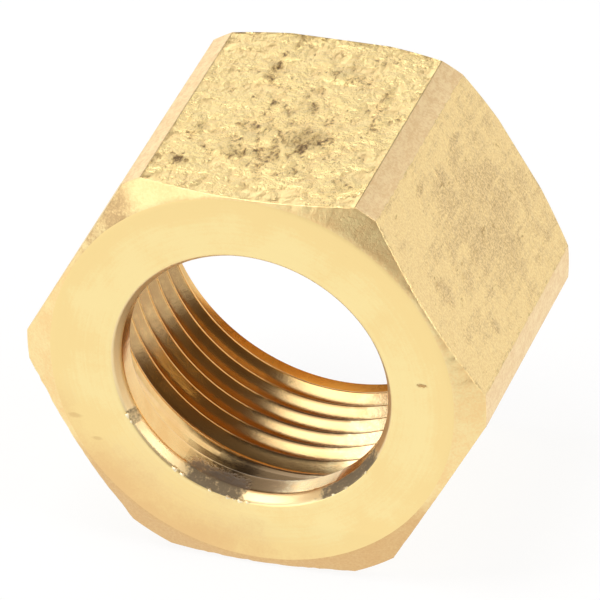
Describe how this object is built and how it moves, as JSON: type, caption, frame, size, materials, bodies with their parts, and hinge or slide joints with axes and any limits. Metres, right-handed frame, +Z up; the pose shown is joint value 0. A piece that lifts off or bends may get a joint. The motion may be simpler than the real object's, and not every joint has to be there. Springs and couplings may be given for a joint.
{
  "type": "compression nut",
  "caption": "Hexagonal brass compression nut: a plain tube hole in one end opens through a conical sleeve seat into a threaded bore with a countersunk mouth.",
  "frame": {"origin": "on the nut's axis, midway between its two end faces", "axes": "+Y along the axis, out of the threaded mouth; -Y out of the tube end; +Z up, square to the top flat; the nut rests on its bottom flat"},
  "size_m": [0.0194, 0.0128, 0.0174],
  "materials": {
    "brass": "bare brass: turned satin ends, polished bore and thread, rough drawn-bar skin on the flats"
  },
  "bodies": {
    "root": {"compression_nut": "brass"}
  },
  "joints": []
}
